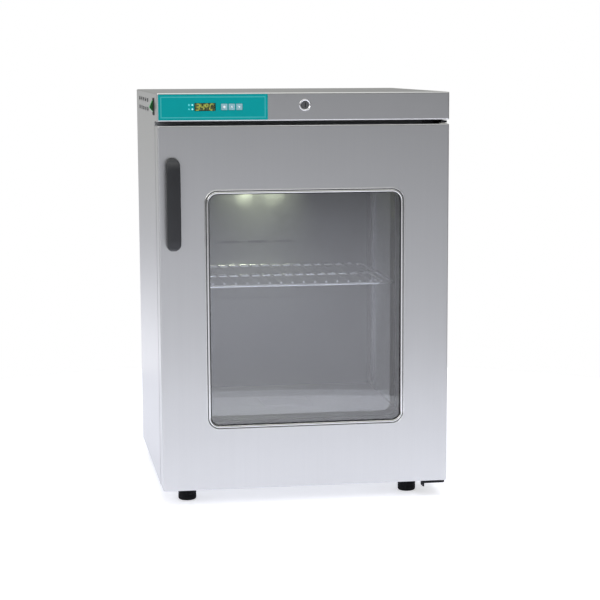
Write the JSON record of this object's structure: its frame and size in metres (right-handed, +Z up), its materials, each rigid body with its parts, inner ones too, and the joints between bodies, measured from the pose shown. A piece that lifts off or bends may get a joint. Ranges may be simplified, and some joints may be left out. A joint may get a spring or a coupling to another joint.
{
  "type": "blanket warming cabinet",
  "caption": "Free-standing insulated steel warming cabinet with a glazed side-hung door, bow handle, control strip, key lock, wire shelf and round levelling feet.",
  "frame": {"origin": "on the floor, in the middle of the overall width and depth", "axes": "+X to the right seen from the front, +Y to the back, +Z up"},
  "size_m": [0.6091, 0.6042, 0.85],
  "materials": {
    "outer_steel": "vertical satin brushing",
    "side_steel": "satin brushing",
    "liner_steel": "matt brushed",
    "galvanised_steel": "galvanised sheet",
    "wire_steel": "polished welded wire",
    "bracket_steel": "zinc-plated",
    "pin_steel": "ground steel",
    "screw_steel": "plated",
    "trim_metal": "polished",
    "lock_ring": "polished",
    "lock_core": "dark, blackened",
    "frame_plastic": "moulded, dark grey",
    "reveal_plastic": "moulded, dark grey",
    "handle_plastic": "moulded, satin dark grey",
    "strip_film": "printed film, blue-green",
    "display_lens": "dark tinted window",
    "digit_block": "lit amber digits",
    "status_light": "lit pale cyan",
    "key_plastic": "light grey, satin",
    "board": "glass-fibre board",
    "cut_out_body": "moulded",
    "rocker_green": "lit green",
    "switch_black": "moulded black",
    "inlet_black": "moulded black",
    "contact_brass": "plated",
    "lamp_metal": "spun",
    "lamp_glass": "frosted",
    "pane_glass": "clear float glass, faint green",
    "seal_rubber": "black",
    "foot_rubber": "black, moulded on a steel stem",
    "motor_steel": "laminated stack and end caps",
    "fan_aluminium": "bright",
    "heater_sheath": "dull sheath",
    "bush_nylon": "nylon, off-white",
    "wool": "mineral wool"
  },
  "bodies": {
    "cabinet": {"outer_wrapper": "side_steel", "base_pan": "galvanised_steel", "back_panel": "galvanised_steel", "fascia_panel": "outer_steel", "front_frame": "frame_plastic", "chamber_liner": "liner_steel", "insulation": "wool", "electronics_tray": "galvanised_steel", "control_strip": "strip_film", "display_window": "display_lens", "display_module": "digit_block", "status_lamps": "status_light", "control_board": "board", "power_supply": "galvanised_steel", "safety_thermostat": "cut_out_body", "lock_housing": "lock_ring", "lock_nut": "screw_steel", "switch_housing": "switch_black", "mains_inlet": "inlet_black", "inlet_pins": "contact_brass", "lamp_housings": "lamp_metal", "lamp_lenses": "lamp_glass", "floor_panel": "liner_steel", "duct_panel": "liner_steel", "temperature_probe": "pin_steel", "fan_motor": "motor_steel", "heater_element": "heater_sheath", "shelf_pilasters": "liner_steel", "shelf_clips": "wire_steel", "top_hinge_bracket": "bracket_steel", "bottom_hinge_bracket": "bracket_steel", "hinge_pins": "pin_steel", "machine_screws": "screw_steel", "foot_nuts": "screw_steel"},
    "door": {"door_skin": "outer_steel", "door_inner_panel": "liner_steel", "door_insulation": "wool", "window_trim": "trim_metal", "window_seal": "seal_rubber", "outer_glass": "pane_glass", "window_reveal": "reveal_plastic", "inner_glass": "pane_glass", "door_gasket": "seal_rubber", "handle": "handle_plastic", "handle_screws": "screw_steel", "hinge_bushes": "bush_nylon", "lock_keeper": "bracket_steel"},
    "lock": {"lock_plug": "lock_core", "lock_cam": "screw_steel"},
    "rocker": {"power_rocker": "rocker_green"},
    "set_key": {"set_key": "key_plastic"},
    "up_key": {"up_key": "key_plastic"},
    "down_key": {"down_key": "key_plastic"},
    "fan": {"fan_wheel": "fan_aluminium"},
    "shelf": {"wire_shelf": "wire_steel"},
    "foot_front_left": {"foot_front_left": "foot_rubber"},
    "foot_front_right": {"foot_front_right": "foot_rubber"},
    "foot_rear_left": {"foot_rear_left": "foot_rubber"},
    "foot_rear_right": {"foot_rear_right": "foot_rubber"}
  },
  "joints": [
    {"name": "door_swing", "type": "hinge", "parent": "cabinet", "child": "door", "pos_m": [0.29, -0.255, 0.41], "axis": [0, 0, 1], "range_deg": [0, 110]},
    {"name": "lock_turn", "type": "hinge", "parent": "cabinet", "child": "lock", "pos_m": [0, -0.2555, 0.825], "axis": [0, 1, 0], "range_deg": [0, 90]},
    {"name": "rocker_tip", "type": "hinge", "parent": "cabinet", "child": "rocker", "pos_m": [-0.296, -0.192, 0.822], "axis": [0, 1, 0], "range_deg": [0, 20]},
    {"name": "set_key_press", "type": "slide", "parent": "cabinet", "child": "set_key", "axis": [0, 1, 0], "range_m": [0, 0.0008], "stiffness_N_per_m": 1200, "springref_m": -0.0004},
    {"name": "up_key_press", "type": "slide", "parent": "cabinet", "child": "up_key", "axis": [0, 1, 0], "range_m": [0, 0.0008], "stiffness_N_per_m": 1200, "springref_m": -0.0004},
    {"name": "down_key_press", "type": "slide", "parent": "cabinet", "child": "down_key", "axis": [0, 1, 0], "range_m": [0, 0.0008], "stiffness_N_per_m": 1200, "springref_m": -0.0004},
    {"name": "fan_spin", "type": "hinge", "parent": "cabinet", "child": "fan", "pos_m": [0, 0.031, 0.1], "axis": [0, 0, 1], "continuous": true},
    {"name": "shelf_lift", "type": "slide", "parent": "cabinet", "child": "shelf", "axis": [0, 0, 1], "range_m": [0, 0.02]},
    {"name": "foot_front_left_turn", "type": "hinge", "parent": "cabinet", "child": "foot_front_left", "pos_m": [-0.243, -0.191, 0.02], "axis": [0, 0, 1], "continuous": true},
    {"name": "foot_front_right_turn", "type": "hinge", "parent": "cabinet", "child": "foot_front_right", "pos_m": [0.23, -0.191, 0.02], "axis": [0, 0, 1], "continuous": true},
    {"name": "foot_rear_left_turn", "type": "hinge", "parent": "cabinet", "child": "foot_rear_left", "pos_m": [-0.243, 0.241, 0.02], "axis": [0, 0, 1], "continuous": true},
    {"name": "foot_rear_right_turn", "type": "hinge", "parent": "cabinet", "child": "foot_rear_right", "pos_m": [0.23, 0.241, 0.02], "axis": [0, 0, 1], "continuous": true}
  ]
}
